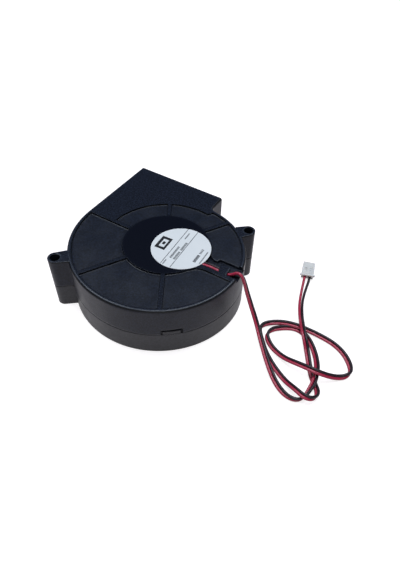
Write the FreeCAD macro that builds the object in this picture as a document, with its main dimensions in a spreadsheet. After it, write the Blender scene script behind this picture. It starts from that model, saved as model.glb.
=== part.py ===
import FreeCAD
import Part
import Sketcher
import math
import os

# A small dc blower fan, inlet side down and motor side up.
# The origin is on the rotor axis in the plane of the inlet face, +Z points up through the motor,
# and +Y is the way the air leaves. Millimetres throughout.

doc = FreeCAD.newDocument("DcBlowerFan")
V = FreeCAD.Vector
UP = V(0, 0, 1)

# Driving sizes: alias, value and meaning
SIZES = [
    ("body_height", 26.5, "inlet face to motor face"),
    ("parting_height", 11.8, "plane where the two shells meet"),
    ("parting_gap", 0.2, "visible line between the shells"),
    ("side_wall", 1.5, "scroll wall"),
    ("top_plate", 1.8, "motor side plate"),
    ("cover_plate", 1.6, "inlet side plate"),
    ("edge_round", 1.1, "rounding of the motor side edge"),
    ("base_chamfer", 0.5, "chamfer of the inlet side edge"),
    ("left_reach", 43.9, "axis to the straight left wall"),
    ("outlet_reach", 43.1, "axis to the outlet plane"),
    ("tongue_reach", 4.7, "axis to the short outlet wall"),
    ("scroll_drop", 0.2, "axis to the centre line of the left arc"),
    ("left_arc", 42.5, "left front arc of the scroll"),
    ("front_arc", 39.6, "right front arc of the scroll"),
    ("right_arc", 36.1, "right arc of the scroll"),
    ("tongue_round", 2.5, "hollow corner outside the tongue"),
    ("rim_width", 1.9, "rim round the sunk panels"),
    ("panel_depth", 0.8, "depth of the sunk panels"),
    ("rib_width", 1.9, "ribs between the panels"),
    ("plateau_edge", 19.5, "round plateau over the motor"),
    ("panel_arc", 28.8, "outer arc of the two back panels"),
    ("panel_arc_end", 79.5, "angle where that arc steps out"),
    ("label_edge", 13.55, "radius of the label"),
    ("label_shift", 7.65, "label centre from the axis"),
    ("label_side", 0.8, "label centre beside the channel line"),
    ("label_sheet", 0.15, "label thickness"),
    ("label_margin", 0.35, "flat round the label"),
    ("channel_front", 3.0, "axis line to the front edge of the lead channel"),
    ("channel_back", 4.8, "axis line to the back edge of the lead channel"),
    ("channel_neck", 3.0, "axis line to the narrow part of the back edge"),
    ("channel_depth", 2.1, "lead channel below the motor face"),
    ("channel_sheet", 0.9, "floor and sides of the lead channel"),
    ("channel_bank", 5.3, "axis line to the front of the channel bank"),
    ("bank_blend", 8.0, "hollow curve from the plateau into the bank"),
    ("wire_opening_start", 10.8, "opening under the label, inner end"),
    ("wire_opening_end", 16.6, "opening under the label, outer end"),
    ("neck_start", 23.3, "narrow part of the lead channel, inner end"),
    ("neck_end", 25.2, "narrow part of the lead channel, outer end"),
    ("neck_step", 0.7, "run of the step beside the narrow part"),
    ("tab_start", 28.5, "retaining tab over the leads, inner end"),
    ("tab_end", 32.8, "retaining tab over the leads, outer end"),
    ("tab_slant", 0.7, "lean of the inner edge of the tab"),
    ("tab_reach", 2.2, "axis line to the free edge of the tab"),
    ("tab_sheet", 0.7, "thickness of the tab"),
    ("left_lug_reach", 48.7, "axis to the left mounting hole"),
    ("left_lug_angle", 224.2, "direction of the left mounting hole"),
    ("right_lug_reach", 39.4, "axis to the right mounting hole"),
    ("right_lug_angle", 46.1, "direction of the right mounting hole"),
    ("lug_bore", 4.3, "diameter of the mounting holes"),
    ("lug_round", 3.3, "radius of the lug end"),
    ("lug_root", 7.6, "width of a lug at the wall"),
    ("lip_height", 1.3, "lap between the shells"),
    ("lap_clearance", 0.05, "play between the lapped walls"),
    ("snap_width", 9.4, "width of a snap window"),
    ("snap_height", 2.9, "height of a snap window"),
    ("snap_tab_width", 7.6, "width of a snap tab"),
    ("snap_tab_height", 1.7, "height of a snap tab above the parting"),
    ("inlet_bore", 42.0, "diameter of the air inlet"),
    ("inlet_lip", 1.3, "wall of the inlet ring"),
    ("inlet_lip_height", 3.1, "height of the inlet ring inside the cover"),
    ("boss_depth", 3.6, "bearing boss below the motor plate"),
    ("boss_wall", 1.4, "wall of the bearing boss"),
    ("tube_start", 15.3, "motor face to the lower end of the bearing tube"),
    ("tube_end", 1.5, "motor face to the upper end of the bearing tube"),
    ("tube_wall", 0.8, "wall of the bearing tube"),
    ("tube_shoulder", 0.5, "step that the sleeve rests on"),
    ("shaft_size", 3.0, "diameter of the shaft"),
    ("shaft_start", 18.1, "motor face to the lower end of the shaft"),
    ("shaft_end", 2.3, "motor face to the upper end of the shaft"),
    ("sleeve_outside", 6.4, "outer diameter of the bearing sleeve"),
    ("sleeve_start", 14.9, "motor face to the lower face of the bearing sleeve"),
    ("sleeve_end", 4.1, "motor face to the upper face of the bearing sleeve"),
    ("sleeve_relief", 0.15, "relief in the middle of the sleeve bore"),
    ("running_clearance", 0.02, "shaft in its sleeve"),
    ("end_play", 0.05, "washers and rings at the ends of the sleeve"),
    ("oil_ring_reach", 2.4, "outer radius of the oil ring"),
    ("oil_ring_height", 0.8, "height of the oil ring"),
    ("washer_reach", 2.6, "outer radius of the thrust washer"),
    ("washer_sheet", 0.4, "thickness of the thrust washer"),
    ("clip_sheet", 0.4, "thickness of the retaining clip"),
    ("clip_groove", 0.35, "depth of the groove for the clip"),
    ("clip_reach", 2.8, "outer radius of the clip"),
    ("hub_start", 20.1, "motor face to the lower face of the impeller hub"),
    ("hub_reach", 15.8, "outer radius of the impeller hub"),
    ("hub_round", 2.5, "rounding of the hub"),
    ("hub_floor", 1.8, "closed end of the hub"),
    ("plate_start", 5.9, "motor face to the lower face of the impeller plate"),
    ("plate_sheet", 1.2, "thickness of the impeller plate"),
    ("blade_inside", 22.8, "inner radius of the blades"),
    ("blade_outside", 28.5, "outer radius of the blades"),
    ("blade_curve", 6.5, "radius of the blade curve"),
    ("blade_sheet", 0.7, "thickness of a blade"),
    ("ring_start", 2.7, "lower face of the blade ring"),
    ("ring_height", 1.5, "height of the blade ring"),
    ("ring_wall", 1.1, "wall of the blade ring"),
    ("yoke_wall", 0.7, "wall of the steel yoke"),
    ("yoke_reach", 14.4, "outer radius of the steel yoke"),
    ("yoke_end", 6.1, "motor face to the open end of the steel yoke"),
    ("magnet_wall", 1.4, "wall of the magnet ring"),
    ("magnet_start", 16.5, "motor face to the lower end of the magnet ring"),
    ("magnet_end", 6.7, "motor face to the upper end of the magnet ring"),
    ("bush_neck", 2.6, "radius of the bush in the yoke"),
    ("bush_flange", 3.4, "radius of the bush flange"),
    ("bush_flange_height", 0.8, "height of the bush flange"),
    ("bush_nose", 2.2, "radius of the bush under the oil ring"),
    ("core_start", 13.9, "motor face to the lower face of the stator core"),
    ("core_height", 6.0, "height of the stator core"),
    ("core_hub", 5.6, "outer radius of the core hub"),
    ("core_reach", 11.6, "outer radius of the pole shoes"),
    ("shoe_wall", 1.3, "thickness of the pole shoes"),
    ("shoe_half_angle", 37.0, "half the angle of a pole shoe"),
    ("pole_width", 2.8, "width of a pole"),
    ("insulator_sheet", 0.8, "thickness of the insulators"),
    ("insulator_collar", 7.2, "outer radius of the insulator collars"),
    ("insulator_flange", 1.5, "height of the insulator end flanges"),
    ("winding_inside", 7.3, "inner end of a winding"),
    ("winding_outside", 9.5, "outer end of a winding"),
    ("winding_build", 1.2, "depth of wire in a winding"),
    ("pin_size", 0.6, "diameter of the terminal pins"),
    ("pin_reach", 6.8, "axis to the terminal pins"),
    ("pin_stand", 0.25, "pin above the circuit board"),
    ("board_start", 3.7, "motor face to the lower face of the circuit board"),
    ("board_sheet", 1.0, "thickness of the circuit board"),
    ("board_reach", 15.0, "outer radius of the circuit board"),
    ("board_clearance", 0.1, "circuit board round the boss"),
    ("lead_size", 1.1, "outer diameter of a lead"),
    ("lead_half_gap", 0.64, "half the distance between the leads"),
    ("plug_length", 9.9, "length of the connector"),
    ("plug_width", 6.0, "width of the connector body"),
    ("plug_height", 3.4, "height of the connector body"),
    ("plug_overhang", 1.4, "roof over the wires at the connector"),
    ("plug_flange_width", 7.5, "width of the connector flange"),
    ("plug_flange_height", 3.6, "height of the connector flange"),
    ("plug_flange_sheet", 0.8, "thickness of the flange and the roof"),
    ("plug_flange_length", 0.9, "length of the connector flange"),
    ("plug_window_start", 3.2, "window over a terminal, wire side"),
    ("plug_window_length", 2.4, "length of a window"),
    ("plug_window_width", 0.8, "width of a window"),
    ("plug_pitch", 2.5, "distance between the two ways"),
    ("plug_cavity", 1.9, "width and height of a way"),
    ("terminal_setback", 2.4, "wire end of a crimp terminal inside its way"),
    ("terminal_length", 6.4, "length of a crimp terminal"),
]

sheet = doc.addObject("Spreadsheet::Sheet", "Sizes")
for row, (alias, value, meaning) in enumerate(SIZES, start=1):
    sheet.set("A%d" % row, alias.replace("_", " "))
    sheet.set("B%d" % row, repr(value))
    sheet.set("C%d" % row, meaning)
    sheet.setAlias("B%d" % row, alias)
doc.recompute()


class Size:
    """A number that remembers the sheet expression it comes from."""

    def __init__(self, value, text):
        self.value = float(value)
        self.text = text

    def __float__(self):
        return self.value

    def __neg__(self):
        return Size(-self.value, "(-%s)" % self.text)

    def __add__(self, other):
        other = as_size(other)
        return Size(self.value + other.value, "(%s + %s)" % (self.text, other.text))

    def __sub__(self, other):
        other = as_size(other)
        return Size(self.value - other.value, "(%s - %s)" % (self.text, other.text))

    def __mul__(self, other):
        other = as_size(other)
        return Size(self.value * other.value, "(%s * %s)" % (self.text, other.text))

    def __truediv__(self, other):
        other = as_size(other)
        return Size(self.value / other.value, "(%s / %s)" % (self.text, other.text))

    def __radd__(self, other):
        return as_size(other) + self

    def __rsub__(self, other):
        return as_size(other) - self

    def __rmul__(self, other):
        return as_size(other) * self


def as_size(number):
    if isinstance(number, Size):
        return number
    return Size(number, "(%r)" % number)


def root(number):
    number = as_size(number)
    return Size(math.sqrt(number.value), "sqrt(%s)" % number.text)


def cosine(angle):
    angle = as_size(angle)
    return Size(math.cos(math.radians(angle.value)), "cos(%s)" % angle.text)


def sine(angle):
    angle = as_size(angle)
    return Size(math.sin(math.radians(angle.value)), "sin(%s)" % angle.text)


VALUES = {alias: Size(value, "Sizes." + alias) for alias, value, meaning in SIZES}


def size(alias):
    return VALUES[alias]


def level(alias):
    """Height of a face of the motor or rotor, which hang from the motor face."""
    return size("body_height") - size(alias)


def bind(thing, name, number):
    """Set a property from a size, as an expression where the size comes from the sheet."""
    if isinstance(number, Size):
        thing.setExpression(name, number.text)
    else:
        setattr(thing, name, number)


# Sketches and features


def new_body(label):
    body = doc.addObject("PartDesign::Body", label)
    body.Label = label
    return body


def new_sketch(body, name, role="XY_Plane", height=None, shift=None, turn=None):
    """A sketch on one of the body's own planes, moved along it and turned in it by sizes."""
    sketch = body.newObject("Sketcher::SketchObject", body.Label + "_" + name)
    support = [item for item in body.Origin.OriginFeatures if item.Role == role]
    sketch.AttachmentSupport = [(support[0], "")]
    sketch.MapMode = "FlatFace"
    if shift is not None:
        bind(sketch, "AttachmentOffset.Base.x", as_size(shift[0]))
        bind(sketch, "AttachmentOffset.Base.y", as_size(shift[1]))
    if height is not None:
        bind(sketch, "AttachmentOffset.Base.z", as_size(height))
    if turn is not None:
        bind(sketch, "AttachmentOffset.Rotation.Angle", as_size(turn))
    return sketch


def fix(sketch, edge, end, x, y):
    """Hold one point of a sketch edge at a place given by two sizes."""
    for kind, number, axis in (("DistanceX", x, -2), ("DistanceY", y, -1)):
        if float(number) == 0.0:
            sketch.addConstraint(Sketcher.Constraint("PointOnObject", edge, end, axis))
            continue
        index = sketch.addConstraint(Sketcher.Constraint(kind, -1, 1, edge, end, float(number)))
        if isinstance(number, Size):
            sketch.setExpression("Constraints[%d]" % index, number.text)


def add_circle(sketch, x, y, radius):
    circle = Part.Circle(V(float(x), float(y), 0), UP, float(radius))
    edge = sketch.addGeometry(circle)
    fix(sketch, edge, 3, x, y)
    index = sketch.addConstraint(Sketcher.Constraint("Radius", edge, float(radius)))
    if isinstance(radius, Size):
        sketch.setExpression("Constraints[%d]" % index, radius.text)


def arc_between(start, end, radius, side):
    """The short arc from start to end, turning left for side 1 and right for side -1."""
    chord = end - start
    half = chord.Length / 2
    rise = math.sqrt(max(radius * radius - half * half, 0.0))
    left = V(-chord.y, chord.x, 0).normalize()
    centre = (start + end) / 2 + left * (rise * side)
    first, last = (start, end) if side > 0 else (end, start)
    angles = [math.atan2(point.y - centre.y, point.x - centre.x) for point in (first, last)]
    return Part.ArcOfCircle(Part.Circle(centre, UP, radius), angles[0], angles[1])


def add_path(sketch, steps):
    """A closed outline. A step is (x, y) for a line to there, or (x, y, radius, side) for an arc."""
    edges = []
    for index, step in enumerate(steps):
        before = steps[index - 1]
        start = V(float(before[0]), float(before[1]), 0)
        end = V(float(step[0]), float(step[1]), 0)
        if len(step) == 2:
            edge = sketch.addGeometry(Part.LineSegment(start, end))
            edges.append((edge, 1, 2))
            continue
        radius, side = step[2], step[3]
        edge = sketch.addGeometry(arc_between(start, end, float(radius), side))
        edges.append((edge, 1, 2) if side > 0 else (edge, 2, 1))
        number = sketch.addConstraint(Sketcher.Constraint("Radius", edge, float(radius)))
        if isinstance(radius, Size):
            sketch.setExpression("Constraints[%d]" % number, radius.text)
    for index, step in enumerate(steps):
        edge, first, last = edges[index]
        following = edges[(index + 1) % len(edges)]
        sketch.addConstraint(Sketcher.Constraint("Coincident", edge, last, following[0], following[1]))
        fix(sketch, edge, last, step[0], step[1])


def add_box(sketch, left, bottom, right, top):
    add_path(sketch, [(left, bottom), (right, bottom), (right, top), (left, top)])


def extrude(body, kind, sketch, length, down=False):
    feature = body.newObject("PartDesign::" + kind, sketch.Name + "_" + kind.lower())
    feature.Profile = sketch
    feature.Reversed = down
    bind(feature, "Length", length)
    return feature


def pad(body, sketch, length, down=False):
    return extrude(body, "Pad", sketch, length, down)


def pocket(body, sketch, length, up=False):
    """Cut downward from the sketch, or upward where up is set."""
    return extrude(body, "Pocket", sketch, length, up)


def revolve(body, sketch):
    feature = body.newObject("PartDesign::Revolution", sketch.Name + "_revolution")
    feature.Profile = sketch
    feature.ReferenceAxis = (sketch, ["V_Axis"])
    feature.Angle = 360
    return feature


def turned(label, steps):
    """A round piece: its outline in radius and height, turned about the rotor axis."""
    body = new_body(label)
    sketch = new_sketch(body, "outline", "XZ_Plane")
    add_path(sketch, steps)
    revolve(body, sketch)
    return body


def polar(body, feature, count):
    pattern = body.newObject("PartDesign::PolarPattern", feature.Name + "_pattern")
    pattern.Originals = [feature]
    pattern.Axis = ([item for item in body.Origin.OriginFeatures if item.Role == "Z_Axis"][0], [""])
    pattern.Angle = 360
    pattern.Occurrences = count
    body.Tip = pattern
    return pattern


# Scroll outline, shared by both shells

HEIGHT = size("body_height")
PARTING = size("parting_height")
WALL = size("side_wall")
LEFT_CENTRE = (size("left_arc") - size("left_reach"), -size("scroll_drop"))
FRONT_CENTRE = (LEFT_CENTRE[0], LEFT_CENTRE[1] - size("left_arc") + size("front_arc"))
RIGHT_CENTRE = (FRONT_CENTRE[0] + size("front_arc") - size("right_arc"), FRONT_CENTRE[1])
TONGUE_X = size("tongue_reach") + size("tongue_round")
TONGUE_SPAN = size("right_arc") + size("tongue_round")
TONGUE_SIDE = TONGUE_X - RIGHT_CENTRE[0]
TONGUE_RISE = root(TONGUE_SPAN * TONGUE_SPAN - TONGUE_SIDE * TONGUE_SIDE)
TONGUE_Y = RIGHT_CENTRE[1] + TONGUE_RISE


def right_end(inset):
    """Where the right arc, moved in by inset, runs into the hollow corner of the tongue."""
    share = (size("right_arc") - inset) / TONGUE_SPAN
    return RIGHT_CENTRE[0] + TONGUE_SIDE * share, RIGHT_CENTRE[1] + TONGUE_RISE * share


def scroll_arcs(inset):
    """The three big arcs from the left wall round the front to the tongue."""
    left, front, right = size("left_arc") - inset, size("front_arc") - inset, size("right_arc") - inset
    end = right_end(inset)
    return [
        (inset - size("left_reach"), LEFT_CENTRE[1]),
        (LEFT_CENTRE[0], LEFT_CENTRE[1] - left, left, 1),
        (FRONT_CENTRE[0] + front, FRONT_CENTRE[1], front, 1),
        (end[0], end[1], right, 1),
    ]


def scroll_outline(inset, overrun=0.0):
    """The whole outline moved in by inset, with the outlet end run out past its plane by overrun."""
    top = size("outlet_reach") + overrun
    wall = size("tongue_reach") - inset
    return scroll_arcs(inset) + [
        (wall, TONGUE_Y, size("tongue_round") + inset, -1),
        (wall, top),
        (inset - size("left_reach"), top),
    ]


def scroll_band(outer, inner):
    """The strip between two insets, open at the outlet."""
    outside = scroll_outline(outer)
    inside = scroll_outline(inner)
    back = []
    for number in range(len(inside) - 2, -1, -1):
        arriving = inside[number + 1]
        place = inside[number][:2]
        if len(arriving) == 4:
            place = place + (arriving[2], -arriving[3])
        back.append(place)
    return outside[:-1] + back + [inside[-1], outside[-1]]


def lug_outline(reach, root_reach):
    """A lug that points along +X of its sketch, round at its end."""
    half = size("lug_root") / 2
    end = size("lug_round")
    return [
        (root_reach, -half),
        (reach, -end),
        (reach + end, 0.0, end, 1),
        (reach, end, end, 1),
        (root_reach, half),
    ]


def rim_point(angle, centre, radius):
    """How far from the axis a ray meets an arc of the scroll."""
    across, along = cosine(angle), sine(angle)
    side = centre[1] * across - centre[0] * along
    return centre[0] * across + centre[1] * along + root(radius * radius - side * side)


LUGS = [
    ("left_lug", size("left_lug_reach"), size("left_lug_angle"),
     rim_point(size("left_lug_angle"), LEFT_CENTRE, size("left_arc") - WALL / 2)),
    ("right_lug", size("right_lug_reach"), size("right_lug_angle"),
     rim_point(size("right_lug_angle"), RIGHT_CENTRE, size("right_arc") - WALL / 2)),
]

# Snap places: the arc that carries it, its radius and the direction from the arc's centre
SNAPS = [
    ("front_snap", FRONT_CENTRE, size("front_arc"), -49.0),
    ("back_snap", RIGHT_CENTRE, size("right_arc"), 64.0),
    ("left_snap", LEFT_CENTRE, size("left_arc"), 188.0),
]


def snap_outline(radius, outer, inner, width):
    """A piece of the scroll wall between two insets, along +X of its sketch."""
    out, into = radius - outer, radius - inner
    half = width / 2
    far = root(out * out - half * half)
    near = root(into * into - half * half)
    return [
        (far, -half),
        (far, half, out, 1),
        (near, half),
        (near, -half, into, -1),
    ]


# Shells


def make_motor_housing():
    body = new_body("motor_housing")
    sketch = new_sketch(body, "scroll", height=PARTING)
    add_path(sketch, scroll_outline(as_size(0.0)))
    block = pad(body, sketch, HEIGHT - PARTING)
    doc.recompute()
    rounded_edges = top_edges(block.Shape, float(HEIGHT), float(size("outlet_reach")))
    rounding = body.newObject("PartDesign::Fillet", "motor_housing_rounding")
    rounding.Base = (block, rounded_edges)
    bind(rounding, "Radius", size("edge_round"))
    for name, reach, angle, root_reach in LUGS:
        sketch = new_sketch(body, name, height=PARTING, turn=angle)
        add_path(sketch, lug_outline(reach, root_reach))
        pad(body, sketch, HEIGHT - PARTING)
    sketch = new_sketch(body, "cavity", height=PARTING)
    add_path(sketch, scroll_outline(WALL, 1.0))
    pocket(body, sketch, HEIGHT - PARTING - size("top_plate"), up=True)
    sketch = new_sketch(body, "rebate", height=PARTING)
    add_path(sketch, scroll_outline(WALL / 2, 1.0))
    pocket(body, sketch, size("lip_height"), up=True)
    add_panels(body)
    add_channel(body)
    for name, reach, angle, root_reach in LUGS:
        sketch = new_sketch(body, name + "_hole", height=HEIGHT, turn=angle)
        add_circle(sketch, reach, 0.0, size("lug_bore") / 2)
        pocket(body, sketch, HEIGHT)
    for name, centre, radius, angle in SNAPS:
        sketch = new_sketch(body, name, height=PARTING, shift=centre, turn=angle)
        lap = WALL / 2 + size("lap_clearance") * 2
        add_path(sketch, snap_outline(radius, -0.5, lap, size("snap_width")))
        pocket(body, sketch, size("snap_height"), up=True)
    return body


def top_edges(shape, height, outlet):
    """Names of the edges round the top face, apart from the straight one over the outlet."""
    names = []
    for number, edge in enumerate(shape.Edges, start=1):
        points = [vertex.Point for vertex in edge.Vertexes]
        if any(abs(point.z - height) > 1e-4 for point in points):
            continue
        if all(abs(point.y - outlet) < 1e-4 for point in points):
            continue
        names.append("Edge%d" % number)
    return names


def add_panels(body):
    """Sunk panels between a rim, five ribs, the plateau and the plain field over the outlet."""
    floor = HEIGHT - size("panel_depth")
    rim = size("rim_width")
    arc = size("panel_arc")
    sketch = new_sketch(body, "panels", height=HEIGHT)
    steps = scroll_arcs(rim)
    steps.append((arc * cosine(size("panel_arc_end")), arc * sine(size("panel_arc_end"))))
    steps.append((-arc, 0.0, arc, 1))
    add_path(sketch, steps)
    pocket(body, sketch, size("panel_depth"))
    sketch = new_sketch(body, "plateau", height=floor)
    add_circle(sketch, 0.0, 0.0, size("plateau_edge"))
    pad(body, sketch, size("panel_depth"))
    sketch = new_sketch(body, "label_seat", height=floor)
    add_circle(sketch, size("label_shift"), size("label_side"), size("label_edge") + size("label_margin"))
    pad(body, sketch, size("panel_depth"))
    ribs = [
        (60, rim_point(60, RIGHT_CENTRE, size("right_arc") - rim / 2)),
        (120, arc + rim / 2),
        (180, arc + rim / 2),
        (240, rim_point(240, LEFT_CENTRE, size("left_arc") - rim / 2)),
        (300, rim_point(300, FRONT_CENTRE, size("front_arc") - rim / 2)),
    ]
    for angle, reach in ribs:
        if angle == 180:
            reach = size("left_reach") - rim / 2
        sketch = new_sketch(body, "rib_%d" % angle, height=floor, turn=angle)
        half = size("rib_width") / 2
        add_box(sketch, size("plateau_edge") - 1.0, -half, reach, half)
        pad(body, sketch, size("panel_depth"))


def add_channel(body):
    """The bank, the trough and the retaining tab for the leads, along +X."""
    floor = HEIGHT - size("panel_depth")
    under = HEIGHT - size("top_plate")
    trough = HEIGHT - size("channel_depth")
    front, back, neck = -size("channel_front"), size("channel_back"), size("channel_neck")
    sheet_size = size("channel_sheet")
    rim = FRONT_CENTRE[0] + size("front_arc")
    plateau, blend, bank = size("plateau_edge"), size("bank_blend"), size("channel_bank")
    turn_x = root((plateau + blend) * (plateau + blend) - (bank + blend) * (bank + blend))
    share = plateau / (plateau + blend)
    sketch = new_sketch(body, "bank", height=floor)
    add_path(sketch, [
        (turn_x * share, -(bank + blend) * share),
        (turn_x, -bank, blend, -1),
        (rim - size("rim_width") / 2, -bank),
        (rim - size("rim_width") / 2, 0.0),
        (turn_x * share, 0.0),
    ])
    pad(body, sketch, size("panel_depth"))
    sketch = new_sketch(body, "trough", height=trough - sheet_size)
    add_box(sketch, size("wire_opening_end") - sheet_size, front - sheet_size, rim - WALL / 2, back + sheet_size)
    pad(body, sketch, under - trough + sheet_size)
    sketch = new_sketch(body, "channel", height=HEIGHT)
    add_path(sketch, [
        (size("wire_opening_end") - sheet_size - 1.0, front),
        (rim + 2.0, front),
        (rim + 2.0, back),
        (size("neck_end") + size("neck_step"), back),
        (size("neck_end"), neck),
        (size("neck_start"), neck),
        (size("label_shift") + size("label_edge") - 0.5, back),
        (size("wire_opening_end") - sheet_size - 1.0, back),
    ])
    pocket(body, sketch, size("channel_depth"))
    sketch = new_sketch(body, "wire_opening", height=HEIGHT)
    add_box(sketch, size("wire_opening_start"), front, size("wire_opening_end"), back)
    pocket(body, sketch, size("channel_depth") + sheet_size + 0.5)
    sketch = new_sketch(body, "tab", height=HEIGHT - size("tab_sheet"))
    add_path(sketch, [
        (size("tab_start") + size("tab_slant"), front - 0.5),
        (size("tab_end") + 0.2, front - 0.5),
        (size("tab_end") - 0.2, size("tab_reach")),
        (size("tab_start") - size("tab_slant"), size("tab_reach")),
    ])
    pad(body, sketch, size("tab_sheet"))
    sketch = new_sketch(body, "boss", height=under)
    add_circle(sketch, 0.0, 0.0, TUBE_OUTSIDE + size("boss_wall"))
    pad(body, sketch, size("boss_depth"), down=True)
    sketch = new_sketch(body, "tube_bore", height=HEIGHT)
    add_circle(sketch, 0.0, 0.0, TUBE_OUTSIDE)
    pocket(body, sketch, size("top_plate") + size("boss_depth") + 1.0)


def make_inlet_cover():
    body = new_body("inlet_cover")
    top = PARTING - size("parting_gap")
    sketch = new_sketch(body, "scroll")
    add_path(sketch, scroll_outline(as_size(0.0)))
    block = pad(body, sketch, top)
    doc.recompute()
    rounded_edges = top_edges(block.Shape, 0.0, float(size("outlet_reach")))
    rounding = body.newObject("PartDesign::Chamfer", "inlet_cover_chamfer")
    rounding.Base = (block, rounded_edges)
    bind(rounding, "Size", size("base_chamfer"))
    for name, reach, angle, root_reach in LUGS:
        sketch = new_sketch(body, name, turn=angle)
        add_path(sketch, lug_outline(reach, root_reach))
        pad(body, sketch, top)
    sketch = new_sketch(body, "cavity", height=size("cover_plate"))
    add_path(sketch, scroll_outline(WALL, 1.0))
    pocket(body, sketch, HEIGHT, up=True)
    add_lip(body, top)
    for name, centre, radius, angle in SNAPS:
        sketch = new_sketch(body, name, height=top, shift=centre, turn=angle)
        add_path(sketch, snap_outline(radius, 0.1, LAP_FACE, size("snap_tab_width")))
        pad(body, sketch, size("snap_tab_height") + size("parting_gap"))
    bore = size("inlet_bore") / 2
    sketch = new_sketch(body, "inlet_ring", height=size("cover_plate"))
    add_circle(sketch, 0.0, 0.0, bore + size("inlet_lip"))
    pad(body, sketch, size("inlet_lip_height") - size("cover_plate"))
    sketch = new_sketch(body, "inlet_bore")
    add_circle(sketch, 0.0, 0.0, bore)
    pocket(body, sketch, HEIGHT, up=True)
    for name, reach, angle, root_reach in LUGS:
        sketch = new_sketch(body, name + "_hole", height=HEIGHT, turn=angle)
        add_circle(sketch, reach, 0.0, size("lug_bore") / 2)
        pocket(body, sketch, HEIGHT)
    return body


LAP_FACE = WALL / 2 + size("lap_clearance")


def add_lip(body, top):
    """The lap that stands up inside the wall of the upper shell."""
    sketch = new_sketch(body, "lip", height=top)
    add_path(sketch, scroll_band(LAP_FACE, WALL))
    pad(body, sketch, size("lip_height") + size("parting_gap") - size("lap_clearance"))


# Bearing and shaft

SHAFT = size("shaft_size") / 2
TUBE_INSIDE = size("sleeve_outside") / 2
TUBE_OUTSIDE = TUBE_INSIDE + size("tube_wall")
OIL_RING_END = level("sleeve_start") - size("end_play")
OIL_RING_START = OIL_RING_END - size("oil_ring_height")
WASHER_FACE = level("sleeve_end") + size("end_play")
CLIP_FACE = WASHER_FACE + size("washer_sheet")


def make_bearing():
    """Bearing tube and the oil filled sleeve that rests on its shoulder."""
    low, high, seat = level("tube_start"), level("tube_end"), level("sleeve_start")
    turned("bearing_tube", [
        (TUBE_INSIDE - size("tube_shoulder"), low),
        (TUBE_OUTSIDE, low),
        (TUBE_OUTSIDE, high),
        (TUBE_INSIDE, high),
        (TUBE_INSIDE, seat),
        (TUBE_INSIDE - size("tube_shoulder"), seat),
    ])
    bore = SHAFT + size("running_clearance")
    end = level("sleeve_end")
    third = (end - seat) / 3
    turned("bearing_sleeve", [
        (bore, seat),
        (TUBE_INSIDE, seat),
        (TUBE_INSIDE, end),
        (bore, end),
        (bore, end - third),
        (bore + size("sleeve_relief"), end - third),
        (bore + size("sleeve_relief"), seat + third),
        (bore, seat + third),
    ])


def make_shaft():
    low, high = level("shaft_start"), level("shaft_end")
    neck = SHAFT - size("clip_groove")
    turned("shaft", [
        (0.0, low),
        (SHAFT, low),
        (SHAFT, CLIP_FACE),
        (neck, CLIP_FACE),
        (neck, CLIP_FACE + size("clip_sheet")),
        (SHAFT, CLIP_FACE + size("clip_sheet")),
        (SHAFT, high),
        (0.0, high),
    ])


def make_shaft_rings():
    """The oil ring below the sleeve, the thrust washer above it and the clip that holds the rotor."""
    for label, reach, low, high in (
            ("oil_ring", size("oil_ring_reach"), OIL_RING_START, OIL_RING_END),
            ("thrust_washer", size("washer_reach"), WASHER_FACE, CLIP_FACE)):
        turned(label, [
            (SHAFT, low),
            (reach, low),
            (reach, high),
            (SHAFT, high),
        ])
    body = new_body("retaining_clip")
    sketch = new_sketch(body, "outline", height=CLIP_FACE)
    neck = SHAFT - size("clip_groove")
    reach = size("clip_reach")
    add_path(sketch, [
        (-neck, reach * 0.8),
        (-neck, 0.0),
        (0.0, -neck, neck, 1),
        (neck, 0.0, neck, 1),
        (neck, reach * 0.8),
        (reach * 0.6, reach * 0.8),
        (reach, 0.0, reach, -1),
        (0.0, -reach, reach, -1),
        (-reach, 0.0, reach, -1),
        (reach * -0.6, reach * 0.8, reach, -1),
    ])
    pad(body, sketch, size("clip_sheet"))


# Rotor


def make_impeller():
    """Hub cup, backplate, forward curved blades and the ring at their inlet end, moulded as one."""
    body = new_body("impeller")
    start, reach = level("hub_start"), size("hub_reach")
    inside = size("yoke_reach")
    floor = start + size("hub_floor")
    plate = level("plate_start")
    plate_top = plate + size("plate_sheet")
    bend = size("hub_round")
    tip = size("blade_outside")
    sketch = new_sketch(body, "hub", "XZ_Plane")
    add_path(sketch, [
        (0.0, start),
        (reach - bend, start),
        (reach, start + bend, bend, 1),
        (reach, plate),
        (tip, plate),
        (tip, plate_top),
        (inside, plate_top),
        (inside, floor),
        (0.0, floor),
    ])
    revolve(body, sketch)
    sketch = new_sketch(body, "ring", "XZ_Plane")
    low = size("ring_start")
    add_box(sketch, tip - size("ring_wall"), low, tip, low + size("ring_height"))
    revolve(body, sketch)
    sketch = new_sketch(body, "blade", height=low)
    add_blade(sketch)
    blade = pad(body, sketch, plate - low + 0.3)
    doc.recompute()
    polar(body, blade, BLADE_COUNT)


BLADE_COUNT = 33


def add_blade(sketch):
    """One blade: it leaves the inner circle square to it and curves forward, clockwise from above."""
    inner, outer, curve = size("blade_inside"), size("blade_outside") - 0.15, size("blade_curve")
    thick = size("blade_sheet")
    corners = []
    for radius, reach in ((curve, inner), (curve, outer), (curve + thick, outer), (curve + thick, inner)):
        corners.append(circle_meeting(inner, -curve, radius, reach))
    add_path(sketch, [
        (corners[0][0], corners[0][1]),
        (corners[1][0], corners[1][1], curve, -1),
        (corners[2][0], corners[2][1]),
        (corners[3][0], corners[3][1], curve + thick, 1),
    ])


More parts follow.
